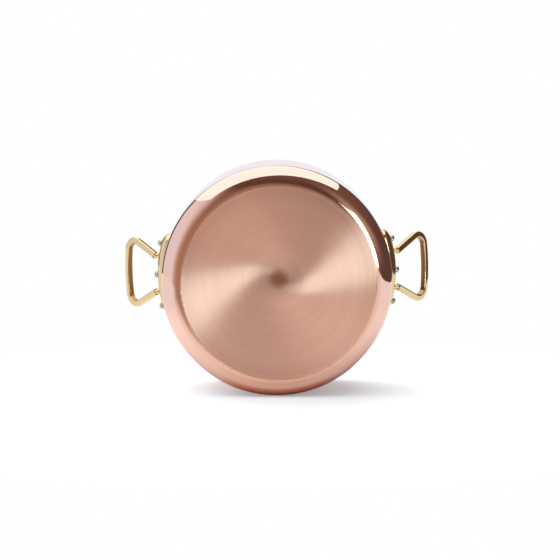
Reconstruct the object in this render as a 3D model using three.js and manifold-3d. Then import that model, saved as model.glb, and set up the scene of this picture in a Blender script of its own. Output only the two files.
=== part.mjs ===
import * as THREE from 'three';
import { mergeVertices } from 'three/addons/utils/BufferGeometryUtils.js';
import Module from 'manifold-3d';

// A copper stew pan lined with steel, with two cast brass loop handles riveted to its wall.
// Lengths are millimetres and angles are degrees. +Z points from the underside up to the rim.
// The origin is the middle of the underside, and the two handles lie along -X and +X.

// Pan body
const bodyRadius = 122; // outside of the copper wall
const panHeight = 132; // underside to rim
const copperThickness = 1.8;
const liningThickness = 0.2;
const bondLine = 0.02; // between the copper and the steel that is rolled onto it
const cornerRadius = 18; // outside, where the underside turns up into the wall
const rimRound = 0.5; // outer edge of the rim, broken by polishing

// Handle plate, curved to lie along the wall
const plateLength = 96; // along its outer face, from end to end
const plateHeight = 24;
const plateThickness = 8.5;
const plateCornerRadius = 10; // corners of the plate, seen from outside
const plateNoseLength = 15; // along each end, where the outer face curves in to the wall
const plateNoseDepth = 7; // how far it curves in
const plateEdgeRound = 1; // long edges
const plateSeatGap = 0.3; // between the plate and the wall

// Handle loop, a bent bar that slopes up and away from the plate
const loopSlope = 47.5; // above level
const loopLength = 48; // along the slope, from the foot of a leg to the middle of the grip
const footSpacing = 40; // between the feet of the two legs
const loopWidth = 70; // between the middles of the bar at the widest place
const bendRadius = 12; // middle of the bar, where a leg turns into the grip
const gripBowRadius = 190; // middle of the bar, along the gently bowed grip
const barWidth = 6.9; // in the slope of the loop
const barDepth = 6.7; // square to the slope
const barEdgeRound = 1.5;

// Necks that carry the loop's feet on the plate
const neckRadius = 2.1;
const neckReach = 1.9; // from the face of the plate out to the middle of a foot
const neckRise = 7; // above the row of rivets
const neckRoot = 5; // from the face of the plate in to the hidden end of a neck

// Rivets, three in a row through each plate
const rivetsBelowRim = 25;
const rivetEndMargin = 13; // from each end of the plate to the nearest rivet, along its face
const rivetCount = 3;
const shankRadius = 2.5;
const holeClearance = 0.2; // between a shank and its hole
const outerHeadRadius = 4;
const outerHeadHeight = 3.4;
const innerHeadRadius = 5;
const innerHeadHeight = 1.6;
const headSeatGap = 0.15; // under each rivet head

// Fineness of the curved surfaces
const aroundSteps = 72;
const cornerSteps = 7;
const roundSteps = 2;
const bendSteps = 8;
const rivetSides = 16;
const domeSteps = 4;
const neckSides = 16;

// Places that follow from the sizes above
const innerCopperRadius = bodyRadius - copperThickness;
const liningOuterRadius = innerCopperRadius - bondLine;
const liningInnerRadius = liningOuterRadius - liningThickness;
const plateInnerRadius = bodyRadius + plateSeatGap;
const plateOuterRadius = plateInnerRadius + plateThickness;
const rivetHeight = panHeight - rivetsBelowRim;
const rivetPitch = (plateLength - 2 * rivetEndMargin) / (rivetCount - 1);
const slope = THREE.MathUtils.degToRad(loopSlope);

// Finishes
const copperFinish = { color: 0xc58b70, roughness: 0.22, metalness: 1 };
const steelFinish = { color: 0xb9b6b2, roughness: 0.35, metalness: 1 };
const brassFinish = { color: 0xd8b675, roughness: 0.18, metalness: 1 };
const rivetFinish = { color: 0xaaa7a3, roughness: 0.3, metalness: 1 };

const wasm = await Module();
wasm.setup();

/** Turns a closed geometry into a solid that can be cut and joined. */
function toSolid(geometry) {
  const bare = geometry.clone();
  bare.deleteAttribute('normal');
  bare.deleteAttribute('uv');
  const merged = mergeVertices(bare, 1e-4);
  const triVerts = [];
  const index = merged.index.array;
  for (let i = 0; i < index.length; i += 3) {
    const [a, b, c] = [index[i], index[i + 1], index[i + 2]];
    const flattened = a === b || b === c || c === a;
    if (!flattened) {
      triVerts.push(a, b, c);
    }
  }
  const vertProperties = new Float32Array(merged.attributes.position.array);
  const mesh = new wasm.Mesh({ numProp: 3, vertProperties, triVerts: new Uint32Array(triVerts) });
  return new wasm.Manifold(mesh);
}

/** Turns a finished solid into a named mesh with its finish. */
function toMesh(name, solid, finish) {
  const { vertProperties, triVerts } = solid.getMesh();
  const geometry = new THREE.BufferGeometry();
  geometry.setAttribute('position', new THREE.BufferAttribute(vertProperties, 3));
  geometry.setIndex(new THREE.BufferAttribute(triVerts, 1));
  geometry.computeVertexNormals();
  const mesh = new THREE.Mesh(geometry, new THREE.MeshStandardMaterial(finish));
  mesh.name = name;
  return mesh;
}

/** Points of an arc in a profile, both ends included, with angles in degrees from the radial axis. */
function arcPoints(centreRadius, centreHeight, radius, fromAngle, toAngle, steps) {
  const points = [];
  for (let i = 0; i <= steps; i += 1) {
    const angle = THREE.MathUtils.degToRad(fromAngle + ((toAngle - fromAngle) * i) / steps);
    points.push(new THREE.Vector2(
      centreRadius + radius * Math.cos(angle),
      centreHeight + radius * Math.sin(angle),
    ));
  }
  return points;
}

/** Spins a profile of radius and height about the Z axis. */
function revolve(profile, steps) {
  const geometry = new THREE.LatheGeometry(profile, steps);
  geometry.rotateX(Math.PI / 2);
  return geometry;
}

/** The curve of the pan's shape, a given depth inside its outer surface, from the axis to the wall. */
function panCurve(depth) {
  const centreRadius = bodyRadius - cornerRadius;
  const corner = arcPoints(centreRadius, cornerRadius, cornerRadius - depth, -90, 0, cornerSteps);
  return [new THREE.Vector2(0, depth), ...corner];
}

/** The copper body: flat underside, rounded corner, upright wall and a lightly rounded rim. */
function copperBody() {
  const outside = panCurve(0);
  const rim = arcPoints(bodyRadius - rimRound, panHeight - rimRound, rimRound, 0, 90, roundSteps);
  const inside = [...panCurve(copperThickness), new THREE.Vector2(innerCopperRadius, panHeight)];
  return toSolid(revolve([...outside, ...rim, ...inside.reverse()], aroundSteps));
}

/** The thin steel skin that covers the whole inside of the copper, up to the rim. */
function liningBody() {
  const outside = [...panCurve(copperThickness + bondLine), new THREE.Vector2(liningOuterRadius, panHeight)];
  const inside = [
    ...panCurve(copperThickness + bondLine + liningThickness),
    new THREE.Vector2(liningInnerRadius, panHeight),
  ];
  return toSolid(revolve([...outside, ...inside.reverse()], aroundSteps));
}

/** Angle of each rivet in a row, measured from the middle of its plate. */
function rivetAngles() {
  const step = rivetPitch / plateOuterRadius;
  const first = (-(rivetCount - 1) / 2) * step;
  return Array.from({ length: rivetCount }, (_, i) => first + i * step);
}

/** Turns something that lies along the Y axis so that it points outwards through the wall. */
function pointOutwards(geometry, angle) {
  geometry.rotateZ(-Math.PI / 2);
  geometry.rotateZ(angle);
  geometry.translate(0, 0, rivetHeight);
  return geometry;
}

/** The drill that makes a row of rivet holes on the +X side, through plate, copper and lining. */
function rivetDrill() {
  const depth = plateOuterRadius - liningInnerRadius + 2 * outerHeadHeight;
  const middle = (plateOuterRadius + liningInnerRadius) / 2;
  const holes = rivetAngles().map((angle) => {
    const drill = new THREE.CylinderGeometry(
      shankRadius + holeClearance,
      shankRadius + holeClearance,
      depth,
      rivetSides,
    );
    drill.translate(0, middle, 0);
    return toSolid(pointOutwards(drill, angle));
  });
  return holes.reduce((joined, hole) => joined.add(hole));
}

/** A rounded rectangle, centred on the origin. */
function roundedRectangle(length, height, radius) {
  const shape = new THREE.Shape();
  const along = length / 2 - radius;
  const up = height / 2 - radius;
  shape.absarc(along, -up, radius, -Math.PI / 2, 0);
  shape.absarc(along, up, radius, 0, Math.PI / 2);
  shape.absarc(-along, up, radius, Math.PI / 2, Math.PI);
  shape.absarc(-along, -up, radius, Math.PI, 1.5 * Math.PI);
  shape.closePath();
  return shape;
}

/** Where the ends of the plate lie: the angles of an end and of the start of its curve, and their radii. */
function plateEnds() {
  const endAngle = plateLength / 2 / plateOuterRadius;
  const noseRadius = plateOuterRadius - plateNoseDepth;
  const noseAngle = endAngle - Math.atan2(plateNoseLength, noseRadius);
  const tipRadius = Math.hypot(noseRadius, plateNoseLength);
  return { endAngle, noseRadius, noseAngle, tipRadius };
}

/** The plate seen from below: a strip curved round the wall, with its outer face curved in at the ends. */
function plateOutline() {
  const { endAngle, noseRadius, noseAngle } = plateEnds();
  const along = noseRadius * Math.cos(noseAngle);
  const side = noseRadius * Math.sin(noseAngle);
  const quarter = Math.PI / 2;
  const shape = new THREE.Shape();
  shape.absarc(0, 0, plateOuterRadius, -noseAngle, noseAngle);
  shape.absellipse(along, side, plateNoseDepth, plateNoseLength, 0, quarter, false, noseAngle);
  shape.absarc(0, 0, plateInnerRadius, endAngle, -endAngle, true);
  shape.absellipse(along, -side, plateNoseDepth, plateNoseLength, -quarter, 0, false, -noseAngle);
  shape.closePath();
  return shape;
}

/** The plate on the +X side, with rounded long edges and rounded corners. */
function handlePlate() {
  const strip = new THREE.ExtrudeGeometry(plateOutline(), {
    depth: plateHeight - 2 * plateEdgeRound,
    bevelEnabled: true,
    bevelThickness: plateEdgeRound,
    bevelSize: plateEdgeRound,
    bevelOffset: -plateEdgeRound,
    bevelSegments: roundSteps,
    curveSegments: bendSteps,
  });
  strip.translate(0, 0, rivetHeight - plateHeight / 2 + plateEdgeRound);
  const { endAngle, tipRadius } = plateEnds();
  const outline = roundedRectangle(2 * tipRadius * Math.sin(endAngle), plateHeight, plateCornerRadius);
  const trim = new THREE.ExtrudeGeometry(outline, {
    depth: plateOuterRadius,
    bevelEnabled: false,
    curveSegments: bendSteps,
  });
  trim.rotateX(Math.PI / 2);
  trim.rotateZ(Math.PI / 2);
  trim.translate(0, 0, rivetHeight);
  return toSolid(strip).intersect(toSolid(trim));
}

/** The two short necks on the +X side, from inside the plate out to the feet of the loop. */
function handleNecks() {
  const footRadius = plateOuterRadius + neckReach;
  const rootRadius = Math.sqrt(plateOuterRadius ** 2 - (footSpacing / 2) ** 2) - neckRoot;
  const necks = [-1, 1].map((side) => {
    const neck = new THREE.CapsuleGeometry(neckRadius, footRadius - rootRadius, domeSteps, neckSides);
    neck.rotateZ(-Math.PI / 2);
    neck.translate((footRadius + rootRadius) / 2, (side * footSpacing) / 2, rivetHeight + neckRise);
    return toSolid(neck);
  });
  return necks[0].add(necks[1]);
}

/**
 * Where the middle of the bar bends, in the slope of the loop: first along the slope from the feet,
 * then to the side. The bend touches the bowed grip, and the straight leg touches the bend.
 */
function loopBends() {
  const bowCentre = loopLength - gripBowRadius;
  const bendSide = loopWidth / 2 - bendRadius;
  const bendAlong = bowCentre + Math.sqrt((gripBowRadius - bendRadius) ** 2 - bendSide ** 2);
  const footSide = footSpacing / 2;
  const span = Math.hypot(bendAlong, bendSide - footSide);
  const legAngle = Math.atan2(bendSide - footSide, bendAlong) + Math.asin(bendRadius / span);
  const bowAngle = Math.atan2(bendSide, bendAlong - bowCentre);
  return { bowCentre, bendSide, bendAlong, footSide, legAngle, bowAngle };
}

/** The outline of the bent bar, an open loop cut off square at its feet. */
function loopOutline() {
  const { bowCentre, bendSide, bendAlong, footSide, legAngle, bowAngle } = loopBends();
  const half = barWidth / 2;
  const endAlong = half * Math.sin(legAngle);
  const endSide = half * Math.cos(legAngle);
  const quarter = Math.PI / 2;
  const shape = new THREE.Shape();
  shape.moveTo(endAlong, -footSide + endSide);
  shape.lineTo(-endAlong, -footSide - endSide);
  shape.absarc(bendAlong, -bendSide, bendRadius + half, -quarter - legAngle, -bowAngle);
  shape.absarc(bowCentre, 0, gripBowRadius + half, -bowAngle, bowAngle);
  shape.absarc(bendAlong, bendSide, bendRadius + half, bowAngle, quarter + legAngle);
  shape.lineTo(-endAlong, footSide + endSide);
  shape.lineTo(endAlong, footSide - endSide);
  shape.absarc(bendAlong, bendSide, bendRadius - half, quarter + legAngle, bowAngle, true);
  shape.absarc(bowCentre, 0, gripBowRadius - half, bowAngle, -bowAngle, true);
  shape.absarc(bendAlong, -bendSide, bendRadius - half, -bowAngle, -quarter - legAngle, true);
  shape.closePath();
  return shape;
}

/** The loop on the +X side, sloping up from its feet at the ends of the necks. */
function handleLoop() {
  const bar = new THREE.ExtrudeGeometry(loopOutline(), {
    depth: barDepth - 2 * barEdgeRound,
    bevelEnabled: true,
    bevelThickness: barEdgeRound,
    bevelSize: barEdgeRound,
    bevelOffset: -barEdgeRound,
    bevelSegments: roundSteps,
    curveSegments: bendSteps,
  });
  bar.translate(0, 0, barEdgeRound - barDepth / 2);
  bar.rotateY(-slope);
  bar.translate(plateOuterRadius + neckReach, 0, rivetHeight + neckRise);
  return toSolid(bar);
}

/** One cast handle on the +X side, drilled for its rivets. */
function handleBody() {
  return handlePlate().add(handleNecks()).add(handleLoop()).subtract(rivetDrill());
}

/** Points of a low dome, from its edge to its tip. */
function domePoints(edgeRadius, seat, rise) {
  const points = [];
  for (let i = 0; i <= domeSteps; i += 1) {
    const angle = (Math.PI / 2) * (i / domeSteps);
    points.push(new THREE.Vector2(edgeRadius * Math.cos(angle), seat + rise * Math.sin(angle)));
  }
  points[domeSteps].x = 0;
  return points;
}

/** One rivet on the +X side: a dome outside, a shank through every layer and a low head inside. */
function rivetBody(angle) {
  const flatRadius = liningInnerRadius * Math.cos(Math.PI / aroundSteps);
  const innerSeat = Math.sqrt((flatRadius - headSeatGap) ** 2 - innerHeadRadius ** 2);
  const outerSeat = plateOuterRadius + headSeatGap;
  const profile = [
    ...domePoints(innerHeadRadius, innerSeat, -innerHeadHeight).reverse(),
    new THREE.Vector2(shankRadius, innerSeat),
    new THREE.Vector2(shankRadius, outerSeat),
    ...domePoints(outerHeadRadius, outerSeat, outerHeadHeight),
  ];
  return toSolid(pointOutwards(new THREE.LatheGeometry(profile, rivetSides), angle));
}

/** The same solid on the opposite side of the pan. */
function opposite(solid) {
  return solid.rotate([0, 0, 180]);
}

const pan = new THREE.Group();
const drills = rivetDrill().add(opposite(rivetDrill()));
pan.add(toMesh('copper_body', copperBody().subtract(drills), copperFinish));
pan.add(toMesh('steel_lining', liningBody().subtract(drills), steelFinish));
pan.add(toMesh('right_handle', handleBody(), brassFinish));
pan.add(toMesh('left_handle', opposite(handleBody()), brassFinish));
rivetAngles().forEach((angle, i) => {
  pan.add(toMesh(`right_rivet_${i + 1}`, rivetBody(angle), rivetFinish));
  pan.add(toMesh(`left_rivet_${i + 1}`, opposite(rivetBody(angle)), rivetFinish));
});

export default pan;
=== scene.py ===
"""A copper stew pan, lying on its side in a white studio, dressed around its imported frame."""

import logging
import math
from dataclasses import dataclass, field
from enum import Enum

import bmesh
import bpy
from mathutils import Matrix, Vector


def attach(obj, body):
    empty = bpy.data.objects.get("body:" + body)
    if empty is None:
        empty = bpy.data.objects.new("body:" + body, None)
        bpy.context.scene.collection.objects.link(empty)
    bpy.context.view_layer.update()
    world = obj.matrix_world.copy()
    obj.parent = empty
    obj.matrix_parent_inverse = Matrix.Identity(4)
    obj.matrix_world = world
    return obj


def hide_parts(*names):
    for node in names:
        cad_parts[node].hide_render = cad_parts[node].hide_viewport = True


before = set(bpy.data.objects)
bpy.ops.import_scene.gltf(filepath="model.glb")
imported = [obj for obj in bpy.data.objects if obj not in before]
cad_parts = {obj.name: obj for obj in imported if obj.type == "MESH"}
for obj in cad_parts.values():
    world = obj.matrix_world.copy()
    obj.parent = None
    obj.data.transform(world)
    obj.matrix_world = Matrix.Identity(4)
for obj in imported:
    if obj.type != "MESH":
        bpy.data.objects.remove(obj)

log = logging.getLogger("stew_pan")

BMesh = bmesh.types.BMesh
Material = bpy.types.Material
Object = bpy.types.Object
Socket = bpy.types.NodeSocket
Pair = tuple[float, float]
Triple = tuple[float, float, float]
Edges = tuple[tuple[Triple, Pair], ...]

MM = 0.001
HAND_MM = 100.0
TOUCH = 1e-6
MERGE = 1e-7
NO_CREASE = 180.0
NOISE_SPAN = (0.3, 0.7)
UP = Vector((0.0, 0.0, 1.0))
RIGHT = (1.0, 0.0, 0.0)
LEFT = (-1.0, 0.0, 0.0)
DOWN = (0.0, 1.0, 0.0)
AWAY = (0.0, 0.0, 1.0)
BLACK = (0.0, 0.0, 0.0)
WHITE = (1.0, 1.0, 1.0)
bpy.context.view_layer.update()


class Side(Enum):
    """The two sides of the pan that carry a handle, by the turn about the pan's axis."""

    RIGHT = 0.0
    LEFT = math.pi

    @property
    def label(self) -> str:
        """The word that names this side's pieces."""
        return self.name.lower()

    @property
    def turn(self) -> Matrix:
        """The turn that carries a shape from the +X side to this side."""
        return Matrix.Rotation(self.value, 4, "Z")


def to_linear(hex_colour: str) -> tuple[float, float, float, float]:
    """Turns an sRGB hex colour into the linear values that shaders take.

    Args:
        hex_colour: Six hex digits, red first.

    Returns:
        Linear red, green, blue and an alpha of 1.
    """
    parts = [int(hex_colour[i : i + 2], 16) / 255 for i in (0, 2, 4)]
    linear = [p / 12.92 if p <= 0.04045 else ((p + 0.055) / 1.055) ** 2.4 for p in parts]
    return (*linear, 1.0)


class Nodes:
    """Fills one node tree; most methods add a node and give back the socket to go on from."""

    def __init__(self, tree: bpy.types.NodeTree) -> None:
        """Empties the tree of a material or of the world."""
        tree.nodes.clear()
        self.tree = tree

    def add(self, kind: str, inputs: dict | None = None, **settings) -> bpy.types.Node:
        """Adds one node with its settings, and links or sets its inputs.

        Args:
            kind: The node's type name without its common first part.
            inputs: Socket name or number to a value, or to the output socket that feeds it.
            **settings: Properties of the node itself.

        Returns:
            The new node.
        """
        node = self.tree.nodes.new(f"ShaderNode{kind}")
        for name, value in settings.items():
            setattr(node, name, value)
        for key, value in (inputs or {}).items():
            socket = node.inputs[key]
            if isinstance(value, Socket):
                self.tree.links.new(value, socket)
            else:
                socket.default_value = value
        return node

    def place(self) -> Socket:
        """The surface point in the piece's own coordinates, in metres."""
        return self.add("TexCoord").outputs["Object"]

    def calc(self, operation: str, *values: Socket | float) -> Socket:
        """Works out a number from up to three others."""
        return self.add("Math", dict(enumerate(values)), operation=operation).outputs[0]

    def vector(self, operation: str, *values: Socket | Triple) -> Socket:
        """Works out a vector, a length or a dot product from one or two vectors."""
        made = self.add("VectorMath", dict(enumerate(values)), operation=operation).outputs
        return made["Value" if operation in ("LENGTH", "DOT_PRODUCT") else "Vector"]

    def scaled(self, vector: Socket | Triple, share: Socket) -> Socket:
        """Multiplies a vector or a colour by a number."""
        return self.add("VectorMath", {0: vector, "Scale": share}, operation="SCALE").outputs[0]

    def ramp(
        self, value: Socket, over: Pair, to: Pair = (0.0, 1.0), unit: float = 1.0, smooth: bool = False
    ) -> Socket:
        """Carries one stretch of a value over to another, and holds it beyond both ends.

        Args:
            value: The value.
            over: Start and end of its stretch.
            to: What it becomes there.
            unit: The unit of the stretch.
            smooth: Whether it eases in and out.

        Returns:
            The new value.
        """
        ends = {"From Min": over[0] * unit, "From Max": over[1] * unit, "To Min": to[0], "To Max": to[1]}
        kind = "SMOOTHSTEP" if smooth else "LINEAR"
        return self.add("MapRange", {"Value": value, **ends}, interpolation_type=kind).outputs[0]

    def vary(self, noise: Socket, middle: float, spread: float) -> Socket:
        """Turns noise into a value that strays from a middle by a spread."""
        return self.ramp(noise, NOISE_SPAN, (middle - spread, middle + spread))

    def blend(self, share: Socket | float, first: Socket | tuple, second: Socket | tuple) -> Socket:
        """Mixes two colours, sockets or linear values, by a share of the second."""
        a, b = (c if isinstance(c, Socket) else (*c[:3], 1.0) for c in (first, second))
        return self.add("Mix", {"Factor": share, "A": a, "B": b}, data_type="RGBA").outputs["Result"]

    def inside(self, at: Socket, edges: Edges, share: Socket | float = 1.0) -> Socket | float:
        """Tells how far a point or direction lies inside soft straight edges.

        Args:
            at: The point or direction.
            edges: For each edge the way across it, and where along that it starts and ends.
            share: What it is well inside.

        Returns:
            The share there, and 0 outside.
        """
        for way, over in edges:
            share = self.calc("MULTIPLY", self.ramp(self.vector("DOT_PRODUCT", at, way), over), share)
        return share

    def end(self, shader: bpy.types.Node) -> None:
        """Makes a shader the surface of the material."""
        self.add("OutputMaterial", {"Surface": shader.outputs[0]})

    def metal(self, colour: Socket | tuple, roughness: Socket | float, more: dict) -> None:
        """Ends the material as a bare metal, with more inputs for its shader."""
        inputs = {"Base Color": colour, "Metallic": 1.0, "Roughness": roughness, **more}
        self.end(self.add("BsdfPrincipled", inputs))


def new_material(name: str) -> tuple[Material, Nodes]:
    """Makes a material with an empty node tree.

    Args:
        name: The material's name.

    Returns:
        The material and what fills its tree.
    """
    material = bpy.data.materials.new(name)
    material.use_nodes = True
    return material, Nodes(material.node_tree)


@dataclass(frozen=True)
class PolarPoint:
    """A surface point's place round and along an axis, as sockets in metres and radians.

    Args:
        nodes: The material's nodes.
        flat: The point from the axis, with its height removed.
        radius: Distance from the axis.
        angle: Angle about the axis.
        height: Height above the underside.
    """

    nodes: Nodes
    flat: Socket
    radius: Socket
    angle: Socket
    height: Socket

    @classmethod
    def about(cls, nodes: Nodes, centre_mm: Pair = (0.0, 0.0)) -> "PolarPoint":
        """Reads a surface point about an axis along Z.

        Args:
            nodes: The material's nodes.
            centre_mm: Where the axis stands, in X and Y.

        Returns:
            The point.
        """
        moved = nodes.vector("ADD", nodes.place(), (-centre_mm[0] * MM, -centre_mm[1] * MM, 0.0))
        flat = nodes.vector("MULTIPLY", moved, (1.0, 1.0, 0.0))
        x, y, z = nodes.add("SeparateXYZ", {0: moved}).outputs
        return cls(nodes, flat, nodes.vector("LENGTH", flat), nodes.calc("ARCTAN2", y, x), z)

    def streaks(self, across_mm: float, along_mm: float) -> Socket:
        """Noise in streaks round the axis, as a turning brush or wheel leaves them.

        Args:
            across_mm: Width of a streak.
            along_mm: Length of a streak at a hand's breadth from the axis.

        Returns:
            A value about 0.5 that varies from streak to streak.
        """
        calc = self.nodes.calc
        swing = calc("MULTIPLY", calc("COSINE", self.angle), HAND_MM / along_mm)
        sway = calc("MULTIPLY", calc("SINE", self.angle), HAND_MM / along_mm)
        span = calc("MULTIPLY", calc("ADD", self.radius, self.height), 1 / (across_mm * MM))
        at = self.nodes.add("CombineXYZ", {0: swing, 1: sway, 2: span}).outputs[0]
        return self.nodes.add("TexNoise", {"Vector": at, "Scale": 1.0, "Detail": 2.0}).outputs[0]


@dataclass(frozen=True)
class BrushedCopper:
    """Copper sheet brushed in circles about the middle of the underside.

    Args:
        colour: Colour of the copper at a square view, outside the painted shade.
        roughness: Spread of the gloss before it is drawn out across the scratches.
        uneven: How far that strays from scratch to scratch.
        scratch_mm: Width and length of a bundle of scratches; single ones are too fine to show.
        centre_mm: Where the brush turned about, in X and Y.
        swirl_mm: How far the scratches lean off circles, as a length shared out over the radius.
        core_mm: Radius at which they run straight out from the middle.
        coarse: How much coarser they are in the middle.
        coarse_mm: Radii between which that fades.
        fine: How much finer they are at the edge.
        worn_mm: Radius from which they grow finer.
        shade_spot: Painted shade: a darker colour in the middle, where the fans of light on the brushing
            meet.
        shade_spot_mm: Radii between which that fades.
        band: How far the brightness strays from band to band.
        band_mm: Width and length of a band.
        edge_shade: Brightness at the edge, lowered as painted shade.
        edge_shade_mm: Radii between which the brightness falls to that.
        run_out_mm: Middle of the circle in which the brushing ends, in X and Y.
        edge_mm: Radii between which the brushing gives way to the polish of the corner.
        polish: Spread of the gloss beyond that.
        chatter_mm: Pitch of the short marks that the brush leaves where it runs out.
        chatter_depth: How far they stray from the edge, in millimetres.
        chatter_way: The way in which the edge has them.
        chatter_reach: How far that way they start and are full, in millimetres.
    """

    colour: str = "FBC8B3"
    roughness: float = 0.3
    uneven: float = 0.003
    scratch_mm: Pair = (2.6, 300.0)
    centre_mm: Pair = (2.2, -3.0)
    swirl_mm: float = 20.5
    core_mm: float = 6.5
    coarse: float = 2.1
    coarse_mm: Pair = (3.0, 34.0)
    fine: float = 0.935
    worn_mm: float = 70.0
    shade_spot: str = "C28268"
    shade_spot_mm: Pair = (3.0, 14.0)
    band: float = 0.03
    band_mm: Pair = (3.3, 240.0)
    edge_shade: float = 0.92
    edge_shade_mm: Pair = (84.0, 97.0)
    run_out_mm: Pair = (2.2, 1.0)
    edge_mm: Pair = (100.8, 104.6)
    polish: float = 0.08
    chatter_mm: float = 1.6
    chatter_depth: float = 1.7
    chatter_way: Triple = (-0.6, 0.8, 0.0)
    chatter_reach: Pair = (10.0, 60.0)

    def build(self) -> Material:
        """Makes the material.

        Returns:
            The material.
        """
        material, nodes = new_material("brushed_copper_sheet")
        swirl = PolarPoint.about(nodes, self.centre_mm)
        disc = PolarPoint.about(nodes, self.run_out_mm)
        outside = nodes.calc("SUBTRACT", swirl.radius, self.core_mm * MM)
        lean = nodes.calc("ARCTAN2", -self.swirl_mm * MM, outside)
        inputs = {"Vector": swirl.flat, "Angle": lean}
        across = nodes.add("VectorRotate", inputs, rotation_type="Z_AXIS").outputs[0]
        # The gloss spreads across the circular scratches and hardly along them. That gives the eye two
        # opposite fans of light that turn with the lamp, and a dark middle where they meet, which tint()
        # darkens further with painted shade.
        fans = {"Anisotropic": 1.0, "Tangent": across}
        nodes.metal(self.tint(swirl, disc), self.gloss(swirl, disc), fans)
        return material

    def gloss(self, swirl: PolarPoint, disc: PolarPoint) -> Socket:
        """Spread of the gloss, from the coarse middle to the polished corner.

        Args:
            swirl: The point about the brush's axis.
            disc: The point about the middle of the brushed disc.

        Returns:
            The roughness.
        """
        nodes = swirl.nodes
        rough = nodes.vary(swirl.streaks(*self.scratch_mm), self.roughness, self.uneven)
        finer = nodes.ramp(disc.radius, (self.worn_mm, self.edge_mm[0]), (1.0, self.fine), MM)
        coarser = nodes.ramp(swirl.radius, self.coarse_mm, (self.coarse, 1.0), MM)
        brushed = nodes.calc("MULTIPLY", rough, nodes.calc("MULTIPLY", coarser, finer))
        along = nodes.calc("MULTIPLY", disc.angle, self.edge_mm[0] / self.chatter_mm)
        inputs = {"W": along, "Scale": 1.0, "Detail": 1.0}
        marks = nodes.add("TexNoise", inputs, noise_dimensions="1D").outputs[0]
        depth = nodes.ramp(marks, (0.0, 1.0), (-self.chatter_depth * MM, self.chatter_depth * MM))
        reach = nodes.vector("DOT_PRODUCT", disc.flat, self.chatter_way)
        where = nodes.ramp(reach, self.chatter_reach, unit=MM)
        ragged = nodes.calc("MULTIPLY_ADD", depth, where, disc.radius)
        past = nodes.ramp(ragged, self.edge_mm, unit=MM, smooth=True)
        return nodes.add("Mix", {"Factor": past, "A": brushed, "B": self.polish}).outputs[0]

    def tint(self, swirl: PolarPoint, disc: PolarPoint) -> Socket:
        """Colour of the copper, with faint bands, and painted shade: darker in the middle and towards the
        edge.

        Args:
            swirl: The point about the brush's axis.
            disc: The point about the middle of the brushed disc.

        Returns:
            The colour.
        """
        nodes = swirl.nodes
        # Painted shade: the copper is darker in the middle, where the fans of light on the brushing meet.
        outside_shade_spot = nodes.ramp(swirl.radius, self.shade_spot_mm, unit=MM, smooth=True)
        copper = nodes.blend(outside_shade_spot, to_linear(self.shade_spot), to_linear(self.colour))
        bands = nodes.vary(swirl.streaks(*self.band_mm), 1.0, self.band)
        # Painted shade: the copper grows darker towards the edge of the brushed disc.
        edge_shade_share = nodes.ramp(disc.radius, self.edge_shade_mm, (1.0, self.edge_shade), MM)
        return nodes.scaled(copper, nodes.calc("MULTIPLY", bands, edge_shade_share))


@dataclass(frozen=True)
class Metal:
    """A bare metal of one colour.

    Args:
        name: The metal and how it was worked.
        colour: Its colour at a square view.
        roughness: Spread of its gloss.
        uneven: How far that strays from line to line round the pan.
        line_mm: Width and length of those lines, if it has any.
        drawn: How much the gloss is drawn out across them.
        dent_mm: Width and depth of its shallow dents, if it has any.
        dented: How much of them shows.
    """

    name: str
    colour: str
    roughness: float
    uneven: float = 0.0
    line_mm: Pair | None = None
    drawn: float = 0.0
    dent_mm: Pair | None = None
    dented: float = 0.0

    def build(self) -> Material:
        """Makes the material.

        Returns:
            The material.
        """
        material, nodes = new_material(self.name)
        rough = self.roughness
        more = {}
        if self.line_mm:
            point = PolarPoint.about(nodes)
            rough = nodes.vary(point.streaks(*self.line_mm), self.roughness, self.uneven)
            more = {"Anisotropic": self.drawn, "Tangent": point.flat}
        if self.dent_mm:
            width, depth = self.dent_mm
            inputs = {"Vector": nodes.place(), "Scale": 1 / (width * MM), "Detail": 1.0}
            dents = nodes.add("TexNoise", inputs).outputs[0]
            inputs = {"Height": dents, "Strength": self.dented, "Distance": depth * MM}
            more = {"Normal": nodes.add("Bump", inputs).outputs[0]}
        nodes.metal(to_linear(self.colour), rough, more)
        return material


# Shows the studio sharply, with the faintest lines left by the buffing wheel.
POLISHED_COPPER = Metal("polished_copper_sheet", "F5CBBE", 0.04, uneven=0.012, line_mm=(1.6, 90.0))
# Its fine lines run round the wall and the floor and draw the light out across them.
SATIN_STEEL = Metal("satin_stainless_steel", "D2CFCB", 0.34, uneven=0.05, line_mm=(0.8, 40.0), drawn=0.6)
# Its gloss is bright and slightly wavy, because hand grinding leaves the faces uneven.
CAST_BRASS = Metal("polished_cast_brass", "E9CD9E", 0.07, dent_mm=(14.0, 0.4), dented=0.06)
# The loop's inner faces: a rougher gloss where the polishing wheel can't reach, and a darker colour that
# is painted shade beside the polished faces.
SHADED_INNER_BRASS = Metal("unpolished_cast_brass", "AE9468", 0.2)
# A plain grey gloss with the small dents of tumbling.
RIVET_STEEL = Metal("tumbled_stainless_steel", "BEB9B2", 0.16, dent_mm=(1.5, 0.2), dented=0.2)


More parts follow.
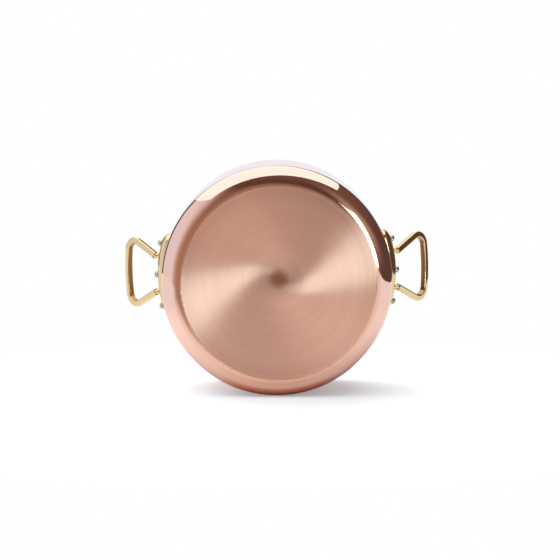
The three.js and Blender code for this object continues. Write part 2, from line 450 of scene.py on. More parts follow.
class Outline:
    """A profile drawn vertex by vertex in the plane of radius (X) and height (Z), in millimetres."""

    def __init__(self, radius: float, height: float) -> None:
        """Starts the profile at a first point."""
        self.bm = bmesh.new()
        self.tip = self.bm.verts.new((radius * MM, 0.0, height * MM))

    def sweep_tip(self, **turn) -> "Outline":
        """Draws on by sweeping the last point.

        Args:
            **turn: Settings of the spin.

        Returns:
            The outline itself.
        """
        made = bmesh.ops.spin(self.bm, geom=[self.tip], **turn)["geom_last"]
        self.tip = next(item for item in made if isinstance(item, bmesh.types.BMVert))
        return self

    def line(self, radius: float, height: float, steps: int = 1) -> "Outline":
        """Draws a straight stretch to a point, in a number of edges."""
        stride = (Vector((radius * MM, 0.0, height * MM)) - self.tip.co) / steps
        return self.sweep_tip(cent=(0, 0, 0), axis=UP, dvec=stride, angle=0.0, steps=steps)

    def arc(self, radius: float, height: float, degrees: float, steps: int) -> "Outline":
        """Draws an arc about a point; a positive turn goes from outwards to upwards."""
        centre = (radius * MM, 0.0, height * MM)
        return self.sweep_tip(cent=centre, axis=(0, -1, 0), angle=math.radians(degrees), steps=steps)

    def revolve(self, steps: int) -> BMesh:
        """Spins the profile about the Z axis into a closed skin.

        Args:
            steps: Number of faces round the axis.

        Returns:
            The finished mesh.
        """
        geom = self.bm.verts[:] + self.bm.edges[:]
        whole = {"cent": (0, 0, 0), "axis": UP, "angle": 2 * math.pi, "steps": steps}
        bmesh.ops.spin(self.bm, geom=geom, use_merge=True, **whole)
        bmesh.ops.remove_doubles(self.bm, verts=self.bm.verts[:], dist=MERGE)
        bmesh.ops.recalc_face_normals(self.bm, faces=self.bm.faces[:])
        return self.bm


def make_piece(name: str, bm: BMesh, materials: list[Material], crease: float) -> Object:
    """Turns a finished mesh into a smooth-shaded object at the origin.

    Args:
        name: The object's name.
        bm: The mesh, which is freed.
        materials: Materials by face index.
        crease: Angle in degrees over which an edge stays sharp.

    Returns:
        The new object.
    """
    for face in bm.faces:
        face.smooth = True
    mesh = bpy.data.meshes.new(name)
    bm.to_mesh(mesh)
    bm.free()
    mesh.set_sharp_from_angle(angle=math.radians(crease))
    for material in materials:
        mesh.materials.append(material)
    piece = bpy.data.objects.new(name, mesh)
    bpy.context.scene.collection.objects.link(piece)
    return piece


def settle(piece: Object, node: str) -> None:
    """Rides a piece on the pan in place of its solid, and reports it.

    Args:
        piece: The finished piece.
        node: The solid that it stands for.
    """
    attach(piece, "root")
    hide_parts(node)
    log.info("%s: %d faces", piece.name, len(piece.data.polygons))


@dataclass
class PanBody:
    """The round body: a copper sheet outside and its steel lining inside.

    Args:
        radius: Outside of the copper wall.
        height: Underside to rim.
        copper: Thickness of the copper.
        bond: Gap between copper and lining.
        lining: Thickness of the lining.
        corner: Outer radius where the underside turns up.
        dish: How far the middle of the underside is pressed in, so that the pan stands on a ring.
        rim_round: Broken edge of the rim.
        brush_over: How far past the underside the brushed finish is laid; it fades out by itself.
        downward: Z of the normals that count as the underside.
        crease: Angle in degrees over which an edge stays sharp.
        around: Faces round the body.
        corner_steps, floor_steps, wall_steps, rim_steps: Faces across each of these.
    """

    radius: float = 122.0
    height: float = 132.0
    copper: float = 1.8
    bond: float = 0.02
    lining: float = 0.2
    corner: float = 18.0
    dish: float = 1.6
    rim_round: float = 0.5
    brush_over: float = 5.0
    downward: float = -0.9
    crease: float = 40.0
    around: int = 256
    corner_steps: int = 28
    floor_steps: int = 24
    wall_steps: int = 8
    rim_steps: int = 4

    @property
    def flat(self) -> float:
        """Radius at which the underside meets the corner."""
        return self.radius - self.corner

    @property
    def bowl(self) -> float:
        """Radius of the sphere that the dished underside is part of."""
        return (self.flat**2 + self.dish**2) / (2 * self.dish)

    @property
    def tilt(self) -> float:
        """Slope of the dish where it meets the corner, in degrees."""
        return math.degrees(math.asin(self.flat / self.bowl))

    def outwards(self, depth: float) -> Outline:
        """Draws a skin from the middle of the floor to the foot of the wall, at a depth in the sheets."""
        floor = Outline(0.0, depth + self.dish).arc(
            0.0, depth + self.dish - self.bowl, -self.tilt, self.floor_steps
        )
        return floor.arc(self.flat, self.corner, 90.0, self.corner_steps)

    def inwards(self, outline: Outline, depth: float) -> BMesh:
        """Draws a skin from the rim back to the middle of the floor, and spins the sheet.

        Args:
            outline: The outline up to the rim.
            depth: How deep in the sheets the skin lies.

        Returns:
            The sheet's mesh.
        """
        wall = self.radius - depth
        outline.line(wall, self.height).line(wall, self.corner, self.wall_steps)
        outline.arc(self.flat, self.corner, -90.0, self.corner_steps)
        outline.arc(0.0, depth + self.dish - self.bowl, self.tilt, self.floor_steps)
        return outline.revolve(self.around)

    def copper_piece(self, brushed: BrushedCopper, polished: Metal) -> None:
        """Spins the copper sheet and gives its underside the brushed finish.

        Args:
            brushed: Finish of the underside.
            polished: Finish of the rest.
        """
        edge = self.height - self.rim_round
        outline = self.outwards(0.0).line(self.radius, edge, self.wall_steps)
        outline.arc(self.radius - self.rim_round, edge, 90.0, self.rim_steps)
        bm = self.inwards(outline, self.copper)
        reach = (self.flat + self.brush_over) * MM
        for face in bm.faces:
            below = face.calc_center_median().xy.length < reach and face.normal.z < self.downward
            face.material_index = 0 if below else 1
        piece = make_piece("pan_copper", bm, [brushed.build(), polished.build()], self.crease)
        settle(piece, "copper_body")

    def lining_piece(self, satin: Metal) -> None:
        """Spins the steel lining.

        Args:
            satin: Finish of the lining.
        """
        depth = self.copper + self.bond
        outline = self.outwards(depth).line(self.radius - depth, self.height, self.wall_steps)
        bm = self.inwards(outline, depth + self.lining)
        settle(make_piece("pan_lining", bm, [satin.build()], self.crease), "steel_lining")


def sweep(bm: BMesh, geom: list, **turn) -> list:
    """Sweeps a face with its edges and vertices about an upright axis, and returns the last ones."""
    return bmesh.ops.spin(bm, geom=geom, axis=UP, **turn)["geom_last"]


@dataclass
class LoopHandle:
    """One cast handle: a plate along the wall, two necks and a sloping loop.

    Args:
        wall: Outside radius of the pan's wall.
        seat_gap: Gap between wall and plate.
        rivet_height: Height of the row of rivets.
        plate_length: Length along the plate's outer face.
        plate_height: Height of the plate.
        plate_thick: Thickness of the plate.
        plate_corner: Corners of the plate, seen from outside.
        nose_length: Along each end, where the outer face curves in.
        nose_depth: How far it curves in.
        plate_back: How much of the plate's thickness its hollowed back takes.
        slope: Slope of the loop in degrees.
        loop_length: Along the slope, from foot to grip.
        foot_spacing: Between the feet.
        loop_width: Between the middles of the bar at its widest.
        bend: Radius of the bends.
        bow: Radius of the bowed grip.
        bar_width: Bar in the slope.
        bar_depth: Bar square to the slope.
        bar_edge: Rounding of the bar's edges.
        bar_roll: Lean of the bar's faces, in degrees, so that the casting leaves its mould.
        neck_radius: Radius of a neck.
        neck_reach: From the plate's face to a foot.
        neck_rise: Feet above the row of rivets.
        neck_flare: Fillet between a neck and the plate.
        neck_root: How deep in the plate a neck starts.
        inside: How squarely a face of the loop looks at its middle, from where it counts as inside.
        crease: Angle in degrees over which an edge of the casting stays sharp.
        plate_around, neck_around: Faces round the plate and round a neck.
        nose_steps, plate_steps: Faces along each end of the plate and between the ends.
        edge_steps, leg_steps, bend_steps, neck_steps: Faces along each of these; the grip is a bend.
    """

    wall: float = 122.0
    seat_gap: float = 0.3
    rivet_height: float = 107.0
    plate_length: float = 96.0
    plate_height: float = 24.0
    plate_thick: float = 8.5
    plate_corner: float = 10.0
    nose_length: float = 15.0
    nose_depth: float = 7.0
    plate_back: float = 1.5
    slope: float = 47.5
    loop_length: float = 48.0
    foot_spacing: float = 40.0
    loop_width: float = 70.0
    bend: float = 12.0
    bow: float = 190.0
    bar_width: float = 6.9
    bar_depth: float = 6.7
    bar_edge: float = 1.5
    bar_roll: float = 12.5
    neck_radius: float = 2.6
    neck_reach: float = 1.9
    neck_rise: float = 7.0
    neck_flare: float = 1.0
    neck_root: float = 4.0
    inside: float = 0.7
    crease: float = 35.0
    edge_steps: int = 8
    plate_around: int = 64
    nose_steps: int = 16
    plate_steps: int = 40
    leg_steps: int = 12
    bend_steps: int = 24
    neck_around: int = 32
    neck_steps: int = 6

    @property
    def plate_face(self) -> float:
        """Radius of the plate's outer face."""
        return self.wall + self.seat_gap + self.plate_thick

    @property
    def foot(self) -> Vector:
        """Middle between the two feet of the loop."""
        return Vector((self.plate_face + self.neck_reach, 0.0, self.rivet_height + self.neck_rise))

    def bar_section(self, bm: BMesh, place: Matrix) -> list:
        """Makes the bar's rounded rectangular section.

        Args:
            bm: An empty mesh that gets the section.
            place: Where it goes; its own Z points along the sweep.

        Returns:
            The face with its edges and vertices.
        """
        made = bmesh.ops.create_grid(bm, x_segments=1, y_segments=1, size=0.5)["verts"]
        bmesh.ops.scale(bm, vec=(self.bar_depth * MM, self.bar_width * MM, 1.0), verts=made)
        rounding = {"offset": self.bar_edge * MM, "segments": self.edge_steps, "profile": 0.5}
        for side in (-1, 1):
            corners = [v for v in bm.verts if abs(v.co.x - side * self.bar_depth / 2 * MM) < TOUCH]
            bmesh.ops.bevel(bm, geom=corners, affect="VERTICES", material=-1, **rounding)
        face = next(iter(bm.faces))
        bmesh.ops.transform(bm, matrix=place, verts=face.verts[:])
        return [face, *face.edges, *face.verts]

    def plate_section(self, bm: BMesh, place: Matrix) -> list:
        """Makes the plate's section, which is fuller outside than against the wall.

        Args:
            bm: An empty mesh that gets the section.
            place: Where it goes; its own X points outwards and its own Z along the sweep.

        Returns:
            The face with its edges and vertices.
        """
        made = bmesh.ops.create_circle(bm, cap_ends=True, radius=1.0, segments=self.plate_around)["verts"]
        outer = [v for v in made if v.co.x > -TOUCH]
        inner = [v for v in made if v.co.x <= -TOUCH]
        for verts, thick in ((outer, self.plate_thick - self.plate_back), (inner, self.plate_back)):
            bmesh.ops.scale(bm, vec=(thick * MM, self.plate_height / 2 * MM, 1.0), verts=verts)
        bmesh.ops.transform(bm, matrix=place, verts=made)
        face = next(iter(bm.faces))
        return [face, *face.edges, *face.verts]

    def plate_share(self, from_end: float) -> Pair:
        """Size of the plate's section near an end, as shares of the full section.

        Args:
            from_end: Distance from the nearer end.

        Returns:
            Share of the thickness and share of the height.
        """
        nose = max(1 - from_end / self.nose_length, 0.0)
        corner = max(self.plate_corner - from_end, 0.0)
        thin = self.nose_depth * (1 - math.sqrt(1 - nose**2))
        low = self.plate_corner - math.sqrt(self.plate_corner**2 - corner**2)
        return 1 - thin / self.plate_thick, 1 - 2 * low / self.plate_height

    def plate(self) -> BMesh:
        """Sweeps the plate round the wall, narrowing at both ends.

        Returns:
            The plate's mesh.
        """
        bm = bmesh.new()
        half = self.plate_length / 2
        ends = [self.nose_length * (step / self.nose_steps) ** 2 for step in range(self.nose_steps + 1)]
        stations = [s - half for s in ends] + [half - s for s in reversed(ends)]
        inner = self.wall + self.seat_gap
        place = (
            Matrix.Rotation(-half / self.plate_face, 4, "Z")
            @ Matrix.Translation(((inner + self.plate_back) * MM, 0.0, self.rivet_height * MM))
            @ Matrix.Rotation(math.pi / 2, 4, "X")
        )
        geom = self.plate_section(bm, place)
        seat = Matrix.Translation((-inner * MM, 0.0, -self.rivet_height * MM))
        size = (1.0, 1.0)
        for number, station in enumerate(stations):
            if number:
                turn = (station - stations[number - 1]) / self.plate_face
                steps = self.plate_steps if number == len(ends) else 1
                geom = sweep(bm, geom, cent=(0, 0, 0), angle=turn, steps=steps)
            share = self.plate_share(half - abs(station))
            verts = [item for item in geom if isinstance(item, bmesh.types.BMVert)]
            local = seat @ Matrix.Rotation(-station / self.plate_face, 4, "Z")
            change = (share[0] / size[0], 1.0, share[1] / size[1])
            bmesh.ops.scale(bm, vec=change, space=local, verts=verts)
            size = share
        bmesh.ops.recalc_face_normals(bm, faces=bm.faces[:])
        return bm

    def necks(self) -> list[BMesh]:
        """Spins the two necks, flared where they leave the plate.

        Returns:
            The necks' meshes.
        """
        made = []
        foot_side = self.foot_spacing / 2
        root = math.sqrt(self.plate_face**2 - foot_side**2)
        length = self.foot.x - root
        flare = self.neck_radius + self.neck_flare
        for side in (-foot_side, foot_side):
            outline = Outline(0.0, -self.neck_root).line(flare, -self.neck_root).line(flare, 0.0)
            outline.arc(flare, self.neck_flare, -90.0, self.neck_steps).line(self.neck_radius, length)
            neck = outline.arc(0.0, length, 90.0, self.neck_steps).revolve(self.neck_around)
            start = Matrix.Translation((root * MM, side * MM, self.foot.z * MM))
            place = start @ Matrix.Rotation(math.pi / 2, 4, "Y")
            bmesh.ops.transform(neck, matrix=place, verts=neck.verts[:])
            made.append(neck)
        return made

    def loop(self) -> BMesh:
        """Sweeps the bar along a leg, a bend, the bowed grip, a bend and a leg.

        Returns:
            The loop's mesh.
        """
        bar = bmesh.new()
        bow_centre = self.loop_length - self.bow
        bend_side = self.loop_width / 2 - self.bend
        bend_along = bow_centre + math.sqrt((self.bow - self.bend) ** 2 - bend_side**2)
        foot_side = self.foot_spacing / 2
        span = math.hypot(bend_along, bend_side - foot_side)
        leg_angle = math.atan2(bend_side - foot_side, bend_along) + math.asin(self.bend / span)
        bow_angle = math.atan2(bend_side, bend_along - bow_centre)
        bend_turn = math.pi / 2 - bow_angle + leg_angle
        place = (
            Matrix.Translation((0.0, -foot_side * MM, 0.0))
            @ Matrix.Rotation(-leg_angle, 4, "Z")
            @ Matrix.Rotation(math.pi / 2, 4, "Y")
            @ Matrix.Rotation(-math.radians(self.bar_roll), 4, "Z")
        )
        geom = self.bar_section(bar, place)
        stride = math.sqrt(span**2 - self.bend**2) * MM / self.leg_steps
        aside = -math.sin(leg_angle)
        leg = {"cent": (0, 0, 0), "angle": 0.0, "steps": self.leg_steps}
        geom = sweep(bar, geom, dvec=Vector((math.cos(leg_angle), aside, 0.0)) * stride, **leg)
        arcs = (
            (bend_along, -bend_side, bend_turn),
            (bow_centre, 0.0, 2 * bow_angle),
            (bend_along, bend_side, bend_turn),
        )
        for x, y, turn in arcs:
            geom = sweep(bar, geom, cent=(x * MM, y * MM, 0.0), angle=turn, steps=self.bend_steps)
        sweep(bar, geom, dvec=Vector((-math.cos(leg_angle), aside, 0.0)) * stride, **leg)
        bmesh.ops.recalc_face_normals(bar, faces=bar.faces[:])
        middle = Vector((self.loop_length / 2 * MM, 0.0, 0.0))
        # Faces that look at the loop's middle take the darker brass, whose colour is painted shade.
        for face in bar.faces:
            inwards = (middle - face.calc_center_median()).normalized()
            face.material_index = 1 if face.normal.dot(inwards) > self.inside else 0
        rise = Matrix.Translation(self.foot * MM) @ Matrix.Rotation(-math.radians(self.slope), 4, "Y")
        bmesh.ops.transform(bar, matrix=rise, verts=bar.verts[:])
        return bar

    def build(self, side: Side, finishes: list[Material]) -> None:
        """Fuses plate, necks and loop into one casting on its side of the pan.

        Args:
            side: Which side it goes on.
            finishes: Materials of the polished faces and of the loop's inner faces, whose darker colour is
                painted shade.
        """
        shells = []
        for bm in (self.plate(), *self.necks(), self.loop()):
            bmesh.ops.transform(bm, matrix=side.turn, verts=bm.verts[:])
            shells.append(make_piece(f"{side.label}_handle_casting", bm, finishes, self.crease))
        fuse(shells[0], shells[1:], self.crease)
        settle(shells[0], f"{side.label}_handle")


def fuse(piece: Object, others: list[Object], crease: float) -> None:
    """Joins overlapping shells into the one skin of a casting.

    Args:
        piece: The piece that grows and whose mesh is replaced.
        others: The shells that it takes in, which are deleted.
        crease: Angle in degrees over which an edge stays sharp.
    """
    for other in others:
        join = piece.modifiers.new("join", "BOOLEAN")
        join.operation = "UNION"
        join.solver = "EXACT"
        join.object = other
    done = piece.evaluated_get(bpy.context.evaluated_depsgraph_get())
    mesh = bpy.data.meshes.new_from_object(done)
    mesh.set_sharp_from_angle(angle=math.radians(crease))
    piece.modifiers.clear()
    old = piece.data
    piece.data = mesh
    for unused in (old, *(other.data for other in others)):
        bpy.data.meshes.remove(unused)


@dataclass
class RivetRow:
    """Three rivets through one handle's plate, the wall and the lining.

    Args:
        face: Radius of the plate's outer face.
        inside: Radius of the lining's inner face.
        height: Height of the row.
        pitch: Spacing along the plate's face.
        shank: Radius of the shank.
        outer_head: Radius of the outer head.
        outer_rise: Height of the outer head.
        inner_head: Radius of the inner head.
        inner_rise: Height of the inner head.
        seat_gap: Gap under each head.
        crease: Angle in degrees over which an edge stays sharp.
        around: Faces round a rivet.
        dome_steps: Faces from the edge of a head to its tip.
    """

    face: float = 130.8
    inside: float = 119.98
    height: float = 107.0
    pitch: float = 35.0
    shank: float = 2.5
    outer_head: float = 3.7
    outer_rise: float = 3.4
    inner_head: float = 5.0
    inner_rise: float = 1.6
    seat_gap: float = 0.15
    crease: float = 50.0
    around: int = 40
    dome_steps: int = 8

    def rivet(self) -> BMesh:
        """Spins one rivet about the Z axis, with its outer head uppermost.

        Returns:
            The rivet's mesh.
        """
        inner_seat = math.sqrt((self.inside - self.seat_gap) ** 2 - self.inner_head**2)
        outer_seat = self.face + self.seat_gap
        outline = Outline(0.0, inner_seat - self.inner_rise)
        angles = [math.pi / 2 * step / self.dome_steps for step in range(self.dome_steps + 1)]
        for angle in angles[1:]:
            drop = self.inner_rise * math.cos(angle)
            outline.line(self.inner_head * math.sin(angle), inner_seat - drop)
        outline.line(self.shank, inner_seat).line(self.shank, outer_seat).line(self.outer_head, outer_seat)
        for angle in reversed(angles[:-1]):
            rise = self.outer_rise * math.cos(angle)
            outline.line(self.outer_head * math.sin(angle), outer_seat + rise)
        return outline.revolve(self.around)

    def build(self, side: Side, steel: Material) -> None:
        """Places the three rivets of one side.

        Args:
            side: Which side they go on.
            steel: The rivets' material.
        """
        for number in (-1, 0, 1):
            bm = self.rivet()
            place = (
                side.turn
                @ Matrix.Rotation(number * self.pitch / self.face, 4, "Z")
                @ Matrix.Translation((0.0, 0.0, self.height * MM))
                @ Matrix.Rotation(math.pi / 2, 4, "Y")
            )
            bmesh.ops.transform(bm, matrix=place, verts=bm.verts[:])
            piece = make_piece(f"{side.label}_rivet_head_{number + 2}", bm, [steel], self.crease)
            settle(piece, f"{side.label}_rivet_{number + 2}")


@dataclass(frozen=True)
class Patch:
    """A patch of light in the room or on the floor.

    Args:
        tone: Its linear colour, where 1 is white.
        edges: For each soft edge the way across it, and where along that it starts and ends.
        other: A second colour, if it goes over into one.
        turn: The edge between the two.
    """

    tone: Triple
    edges: Edges = ()
    other: Triple = BLACK
    turn: Edges = ()

    def lay(self, nodes: Nodes, at: Socket, under: Socket | Triple, share: Socket | float = 1.0) -> Socket:
        """Lays the patch over a colour, at a direction or point, with a share of it well inside."""
        tone = nodes.blend(nodes.inside(at, self.turn), self.tone, self.other) if self.turn else self.tone
        return nodes.blend(nodes.inside(at, self.edges, share), under, tone)


@dataclass(frozen=True)
class Room:
    """What stands far off round the pan, by direction: right, down and away from the camera.

    Args:
        dusk: The dim room, which grows lighter overhead.
        spill: The side softbox's spill on the wall.
        spill_way: Direction of its middle.
        spill_shape: Its slimness each way.
        spill_fade: Its reach, from outside in.
        table: The lit table top in front, darker near the pan.
        sheet: The pale sheet at the left.
        paper: The white paper behind, whose edge draws back towards the right.
        daylight: Colour of the soft light on the floor.
        daylight_way: The way in which it grows.
        daylight_span: Start and end of that.
        daylight_level: Its level there.
    """

    dusk: Patch = Patch((0.112, 0.068, 0.055), (), (0.17, 0.1, 0.072), ((DOWN, (-0.3, -0.72)),))
    spill: Patch = Patch((0.51, 0.37, 0.29), ((DOWN, (0.05, -0.25)), (RIGHT, (0.2, 0.4))))
    spill_way: Triple = (0.5, -0.15, -0.85)
    spill_shape: Triple = (1.0, 1.3, 1.0)
    spill_fade: Pair = (0.9, 0.2)
    table: Patch = Patch(
        (0.51, 0.3, 0.203),
        ((AWAY, (-0.8, -0.95)), (DOWN, (0.06, 0.11))),
        (0.32, 0.195, 0.137),
        ((DOWN, (0.085, 0.145)),),
    )
    sheet: Patch = Patch(
        (0.47, 0.345, 0.28),
        (((-1.0, 0.5, 0.0), (0.0, 0.2)), (AWAY, (0.62, 0.57))),
        (0.86, 0.89, 0.94),
        ((LEFT, (0.25, 0.75)),),
    )
    paper: Patch = Patch((0.88, 0.92, 0.98), (((-0.4, 0.0, 1.0), (0.85, 0.88)),))
    daylight: Triple = (0.9, 1.0, 1.1)
    daylight_way: Triple = (-0.8, 0.0, 1.0)
    daylight_span: Pair = (0.1, 0.7)
    daylight_level: Pair = (0.35, 2.3)

    def build(self) -> None:
        """Makes the world: the room to the metal, daylight to the floor, white to the camera."""
        world = bpy.data.worlds.new("studio")
        world.use_nodes = True
        nodes = Nodes(world.node_tree)
        way = nodes.add("TexCoord").outputs["Generated"]
        offset = nodes.vector("SUBTRACT", way, self.spill_way)
        spread = nodes.vector("LENGTH", nodes.vector("MULTIPLY", offset, self.spill_shape))
        soft = nodes.calc("POWER", nodes.ramp(spread, self.spill_fade), 2.0)
        view = self.spill.lay(nodes, way, self.dusk.lay(nodes, way, BLACK), soft)
        view = self.sheet.lay(nodes, way, self.table.lay(nodes, way, view))
        # The paper's edge draws back at the right only, so directions to the left count as straight on.
        rightward = nodes.vector("MAXIMUM", way, (0.0, -1.0, -1.0))
        view = self.paper.lay(nodes, rightward, view)
        behind = nodes.vector("DOT_PRODUCT", way, self.daylight_way)
        level = nodes.ramp(behind, self.daylight_span, self.daylight_level)
        rays = nodes.add("LightPath").outputs
        view = nodes.blend(rays["Is Diffuse Ray"], view, nodes.scaled(self.daylight, level))
        view = nodes.blend(rays["Is Camera Ray"], view, WHITE)
        sky = nodes.add("Background", {"Color": view})
        nodes.add("OutputWorld", {"Surface": sky.outputs[0]})
        bpy.context.scene.world = world


@dataclass(frozen=True)
class PaperFloor:
    """White paper that the pan lies on, seen only from the pan's side; lengths are in metres.

    Args:
        contact: Distance from the middle of the underside to the floor.
        white: What the camera sees, at the contact and clear of it; the cool tint at the contact is
            painted, to cancel the copper's warm bounce light.
        white_reach: Where it is clear of it.
        painted_bounce: What the metal sees near the pan, at the contact and away from it; the warmth at
            the contact is painted light, the copper's bounce on the paper.
        painted_bounce_reach: Where it is away from it.
        painted_contact_shadow: A painted shadow that the metal sees right under the corner.
        lit: Painted light that the metal sees on the paper further off, cooler at both sides.
        shade: Painted shade that it sees in front, standing for the camera's shade.
        far: Where the paper goes over from shadow to even light.
        through: How much of that light the camera sees even in the shadow.
    """

    contact: float
    white: tuple[Triple, Triple] = ((0.95, 1.0, 1.06), (1.02, 1.02, 1.02))
    white_reach: float = 0.165
    painted_bounce: tuple[Triple, Triple] = ((0.75, 0.685, 0.6), (0.71, 0.69, 0.66))
    painted_bounce_reach: float = 0.24
    painted_contact_shadow: Patch = Patch((0.7, 0.4, 0.29), ((RIGHT, (0.075, 0.045)), (AWAY, (-0.003, 0.002))))
    lit: Patch = Patch((0.92, 0.855, 0.785), (), (0.92, 0.98, 0.98), ((RIGHT, (0.15, 0.45)),))
    shade: Patch = Patch(
        (0.36, 0.265, 0.205), ((AWAY, (-0.35, -0.8)), (RIGHT, (0.12, 0.0)), (RIGHT, (-0.5, -0.3)))
    )
    far: Pair = (0.25, 0.5)
    through: float = 0.3

    def build(self) -> Material:
        """Makes the material.

        Returns:
            The material.
        """
        material, nodes = new_material("white_paper_floor")
        rays = nodes.add("LightPath").outputs
        seen = rays["Is Camera Ray"]
        place = nodes.place()
        reach = nodes.vector("LENGTH", place)
        both_sides = nodes.vector("MAXIMUM", place, nodes.vector("MULTIPLY", place, (-1.0, 1.0, 1.0)))
        # The camera sees a soft shadow that fades into white, with a painted cool tint at the contact; the
        # metal sees paper with painted warm bounce light and a painted shadow under the corner near the
        # pan, and paper glowing with painted light and shade further off.
        # Painted cool tint near the contact, against the copper's warm bounce light in the shadow.
        white = nodes.blend(nodes.ramp(reach, (self.contact, self.white_reach)), *self.white)
        # Painted warm bounce light of the copper on the paper near the pan, as the metal sees it.
        painted_bounce = nodes.blend(nodes.ramp(reach, (self.contact, self.painted_bounce_reach)), *self.painted_bounce)
        # Painted shadow right under the corner, as the metal sees it.
        near = nodes.blend(seen, self.painted_contact_shadow.lay(nodes, both_sides, painted_bounce), white)
        # Painted light on the paper further off, cooler at the sides, and painted shade in front.
        lit = self.shade.lay(nodes, place, self.lit.lay(nodes, both_sides, BLACK))
        paper = nodes.add("BsdfDiffuse", {"Color": near})
        glow = nodes.add("Emission", {"Color": nodes.blend(seen, lit, WHITE)})
        path = nodes.calc("MAXIMUM", seen, rays["Is Glossy Ray"])
        distant = nodes.calc("MULTIPLY", nodes.ramp(reach, self.far, smooth=True), path)
        shown = nodes.calc("MAXIMUM", distant, nodes.calc("MULTIPLY", seen, self.through))
        front = nodes.add("MixShader", {0: shown, 1: paper.outputs[0], 2: glow.outputs[0]})
        # Its back is clear, so that the pan can be looked at from below too.
        clear = nodes.add("BsdfTransparent")
        behind = nodes.add("NewGeometry").outputs["Backfacing"]
        nodes.end(nodes.add("MixShader", {0: behind, 1: front.outputs[0], 2: clear.outputs[0]}))
        return material


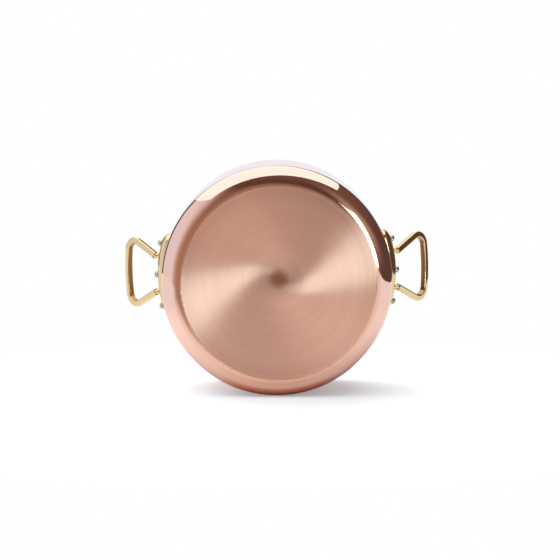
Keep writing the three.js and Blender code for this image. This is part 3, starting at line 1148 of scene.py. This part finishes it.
@dataclass
class Studio:
    """The white floor that the pan lies on, the softboxes and the camera.

    Places are in the level studio, in metres from the middle of the underside: right, down and away
    from the camera. Each cut is a point on a panel's edge and the direction outwards there.

    Args:
        roll: Turn of the pan about its axis as it lies, in degrees.
        floor_at: Distance from the pan's axis to the floor, in millimetres.
        distance: Camera to the middle of the underside.
        elevation: Camera above the level of the axis, in degrees.
        lens: Focal length for the sensor.
        sensor: Width of the sensor.
        shift: The camera's shift in shares of the picture.
        box_size: Width and depth of the overhead softbox's lamp.
        box_at: Where that lamp hangs, facing down.
        box_level: Brightness of its face, where 1 is white.
        cloth_size: Width and depth of the softbox's cloth before it is cut.
        cloth_at: Where the cloth hangs.
        cloth_tone: Linear colour of the cloth.
        cloth_cuts: Its cuts.
        card_size: Width and height of the side softbox before it is slanted and cut.
        card_at: Where it stands.
        card_slant: How much its upper and lower edges slant.
        card_foot: Its cut below, square to the pan and not to the studio.
        card_tone: Linear colour of its light.
        card_span: From its foot to its top.
        card_level: Brightness there.
        floor_size: Width and depth of the floor before it is cut.
        floor_middle: Middle of the floor, right and away.
        floor_cut: Its cut at the right.
        sheet_size: Width and depth of the sheet of paper in front.
        sheet_middle: Middle of that sheet, right and away.
        sheet_over: Its height over the floor, in millimetres.
        turn: The turn from the level studio to the pan's frame, worked out from the roll.
    """

    roll: float = -1.185
    floor_at: float = 122.1
    distance: float = 2.2
    elevation: float = 6.245
    lens: float = 135.17
    sensor: float = 36.0
    shift: Pair = (0.00575, 0.00454)
    box_size: Pair = (1.587, 2.45)
    box_at: Triple = (-0.163, -1.0, 0.195)
    box_level: float = 1.5
    cloth_size: Pair = (2.6, 3.6)
    cloth_at: Triple = (-0.2, -1.0, 0.35)
    cloth_tone: Triple = (1.0, 0.985, 0.96)
    cloth_cuts: tuple[tuple[Triple, Triple], ...] = (
        ((0.0, 0.0, -0.733), (0.55, 0.0, -1.0)),
        ((-1.07, 0.0, 0.0), (-1.0, 0.0, -0.1)),
        ((0.735, 0.0, 0.0), (1.0, 0.0, 0.0)),
        ((0.0, 0.0, 1.42), (0.22, 0.0, 1.0)),
    )
    card_size: Pair = (2.25, 2.7)
    card_at: Triple = (2.025, 0.09, -6.0)
    card_slant: float = -0.7
    card_foot: tuple[Triple, Triple] = ((0.0, 0.36, 0.0), DOWN)
    card_tone: Triple = (0.88, 1.21, 1.25)
    card_span: Pair = (0.45, -0.6)
    card_level: Pair = (4.65, 2.65)
    floor_size: Pair = (3.77, 2.4)
    floor_middle: Pair = (-0.615, 0.4)
    floor_cut: tuple[Triple, Triple] = ((1.27, 0.0, 0.0), (1.0, 0.0, 0.42))
    sheet_size: Pair = (0.97, 1.2)
    sheet_middle: Pair = (0.785, -1.3)
    sheet_over: float = 0.5
    turn: Matrix = field(init=False)

    def __post_init__(self) -> None:
        """Works out the turn from the level studio to the pan's own frame."""
        self.turn = Matrix.Rotation(-math.radians(self.roll), 4, "Z")

    def aimed(self, point: Triple, aim: Triple) -> Matrix:
        """Puts a lamp or the camera at a point of the level studio, aimed at another.

        Args:
            point: Where it stands.
            aim: What it looks at.

        Returns:
            Its matrix in the pan's frame.
        """
        back = (Vector(point) - Vector(aim)).normalized()
        side = Vector((0.0, -1.0, 0.0)).cross(back)
        side = side.normalized() if side.length > TOUCH else Vector(RIGHT)
        axes = Matrix((side, back.cross(side), back)).transposed().to_4x4()
        return self.turn @ Matrix.Translation(point) @ axes

    def camera(self) -> None:
        """Stands the camera in front of the underside, a little above the axis."""
        data = bpy.data.cameras.new("camera")
        data.lens = self.lens
        data.sensor_width = self.sensor
        data.shift_x, data.shift_y = self.shift
        eye = bpy.data.objects.new("camera", data)
        tilt = math.radians(self.elevation)
        point = (0.0, -math.sin(tilt) * self.distance, -math.cos(tilt) * self.distance)
        eye.matrix_world = self.aimed(point, (0.0, 0.0, 0.0))
        bpy.context.scene.collection.objects.link(eye)
        bpy.context.scene.camera = eye

    def lamp(self) -> None:
        """Hangs the overhead softbox's lamp, which lights the floor."""
        data = bpy.data.lights.new("softbox", "AREA")
        data.shape = "RECTANGLE"
        data.size, data.size_y = self.box_size
        data.energy = self.box_level * data.size * data.size_y * math.pi
        box = bpy.data.objects.new("softbox", data)
        box.matrix_world = self.aimed(self.box_at, (self.box_at[0], 0.0, self.box_at[2]))
        box.visible_camera = False
        box.visible_glossy = False
        bpy.context.scene.collection.objects.link(box)

    def panel(self, name: str, finish: Material, place: Matrix, size: Pair, *cuts: tuple) -> Object:
        """Makes one flat panel of the studio.

        Args:
            name: Its name.
            finish: Its material.
            place: Where it goes in the level studio.
            size: Its size before it is cut.
            *cuts: Its cuts in the pan's frame.

        Returns:
            The panel.
        """
        bm = bmesh.new()
        bmesh.ops.create_grid(bm, x_segments=1, y_segments=1, size=0.5)
        spread = self.turn @ place @ Matrix.Diagonal((*size, 1.0, 1.0))
        bmesh.ops.transform(bm, matrix=spread, verts=bm.verts[:])
        for point, outwards in cuts:
            geom = bm.verts[:] + bm.edges[:] + bm.faces[:]
            bmesh.ops.bisect_plane(bm, geom=geom, plane_co=point, plane_no=outwards, clear_outer=True)
        return make_piece(name, bm, [finish], NO_CREASE)

    def level(self, point: Triple) -> Matrix:
        """The place of a level panel, at a point of the level studio."""
        return Matrix.Translation(point) @ Matrix.Rotation(math.pi / 2, 4, "X")

    def turned(self, cut: tuple[Triple, Triple]) -> tuple[Vector, ...]:
        """Carries a cut from the level studio to the pan's frame."""
        return tuple(self.turn @ Vector(part) for part in cut)

    def cloth(self) -> None:
        """Spreads the overhead softbox's cloth, which only the metal sees."""
        material, nodes = new_material("overhead_softbox_cloth")
        # An even, slightly warm white that the copper shows as one bright field.
        nodes.end(nodes.add("Emission", {"Color": (*self.cloth_tone, 1.0), "Strength": self.box_level}))
        cuts = map(self.turned, self.cloth_cuts)
        panel = self.panel("overhead_softbox", material, self.level(self.cloth_at), self.cloth_size, *cuts)
        panel.visible_camera = False
        panel.visible_diffuse = False
        panel.visible_shadow = False

    def card(self) -> None:
        """Stands the side softbox right of the camera, slanted and unseen by it."""
        material, nodes = new_material("side_softbox_cloth")
        # A cool light that is strongest at the foot, and makes the fans on the brushed copper.
        height = nodes.vector("DOT_PRODUCT", nodes.place(), DOWN)
        level = nodes.ramp(height, self.card_span, self.card_level)
        nodes.end(nodes.add("Emission", {"Color": (*self.card_tone, 1.0), "Strength": level}))
        slant = Matrix.Identity(4)
        slant[1][0] = self.card_slant
        place = Matrix.Translation(self.card_at) @ slant
        panel = self.panel("side_softbox", material, place, self.card_size, self.card_foot)
        panel.visible_camera = False

    def floor(self) -> None:
        """Lays the floor under the pan as it lies on its side, and a sheet of paper in front."""
        finish = PaperFloor(self.floor_at * MM).build()
        right, away = self.floor_middle
        place = self.level((right, self.floor_at * MM, away))
        self.panel("studio_floor", finish, place, self.floor_size, self.turned(self.floor_cut))
        right, away = self.sheet_middle
        place = self.level((right, (self.floor_at - self.sheet_over) * MM, away))
        self.panel("front_paper", finish, place, self.sheet_size)

    def build(self) -> None:
        """Makes the whole studio."""
        bpy.context.scene.view_settings.view_transform = "Standard"
        self.camera()
        self.lamp()
        self.cloth()
        self.card()
        Room().build()
        self.floor()


def main() -> None:
    """Builds the pan piece by piece, then the studio."""
    logging.basicConfig(level=logging.INFO, format="%(name)s %(message)s")
    body = PanBody()
    body.copper_piece(BrushedCopper(), POLISHED_COPPER)
    body.lining_piece(SATIN_STEEL)
    brass = [CAST_BRASS.build(), SHADED_INNER_BRASS.build()]
    steel = RIVET_STEEL.build()
    for side in Side:
        LoopHandle().build(side, brass)
        RivetRow().build(side, steel)
    Studio().build()


if __name__ == "__main__":
    main()
